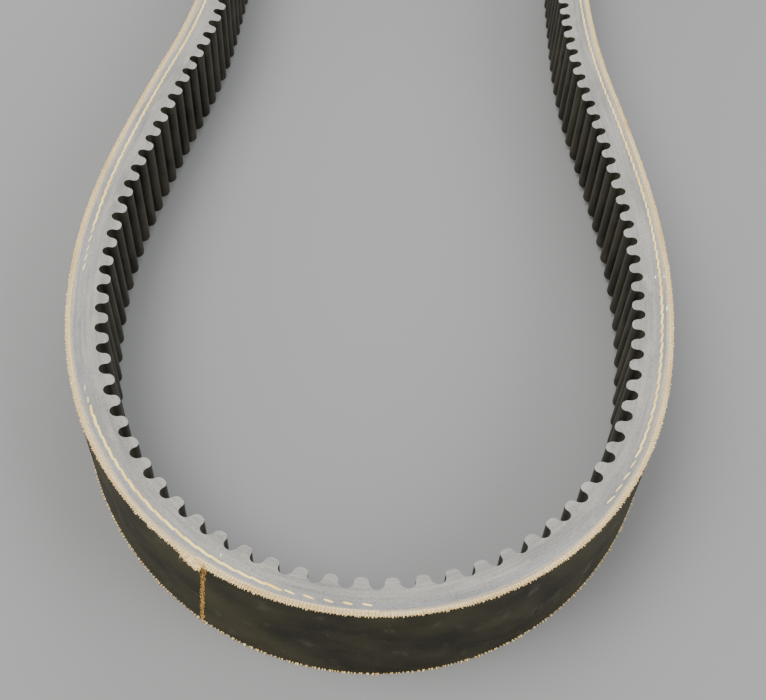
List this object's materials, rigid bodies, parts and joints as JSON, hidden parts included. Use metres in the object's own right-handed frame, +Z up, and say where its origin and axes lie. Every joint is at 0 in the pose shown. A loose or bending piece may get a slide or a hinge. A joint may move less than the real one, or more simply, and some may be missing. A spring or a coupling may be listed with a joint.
{
  "type": "cogged variable-speed v belt",
  "caption": "Endless wide V belt with moulded cogs inside, fabric-covered back and ground flanks, for a variable-speed drive.",
  "frame": {"origin": "middle of the loop, on the surface that the belt stands on", "axes": "+Z up across the belt's width, +Y along the loop's long axis, +X across the loop"},
  "size_m": [0.2108, 0.6744, 0.037],
  "materials": {
    "back_fabric": "matt rubber-filled bias-cut cloth",
    "inner_fabric": "raw cut edge of cream cloth",
    "cushion_rubber": "ground, bluish grey",
    "cog_rubber": "moulded dark cogs, light grey ground flanks",
    "tension_cord": "twisted pale cord"
  },
  "bodies": {
    "root": {"outer_fabric_ply": "back_fabric", "inner_fabric_ply": "inner_fabric", "overcord_rubber": "cushion_rubber", "undercord_rubber": "cushion_rubber", "compression_rubber": "cog_rubber", "cord_turn_01": "tension_cord", "cord_turn_02": "tension_cord", "cord_turn_03": "tension_cord", "cord_turn_04": "tension_cord", "cord_turn_05": "tension_cord", "cord_turn_06": "tension_cord", "cord_turn_07": "tension_cord", "cord_turn_08": "tension_cord", "cord_turn_09": "tension_cord", "cord_turn_10": "tension_cord", "cord_turn_11": "tension_cord", "cord_turn_12": "tension_cord", "cord_turn_13": "tension_cord", "cord_turn_14": "tension_cord", "cord_turn_15": "tension_cord", "cord_turn_16": "tension_cord", "cord_turn_17": "tension_cord", "cord_turn_18": "tension_cord", "cord_turn_19": "tension_cord", "cord_turn_20": "tension_cord", "cord_turn_21": "tension_cord", "cord_turn_22": "tension_cord"}
  },
  "joints": []
}
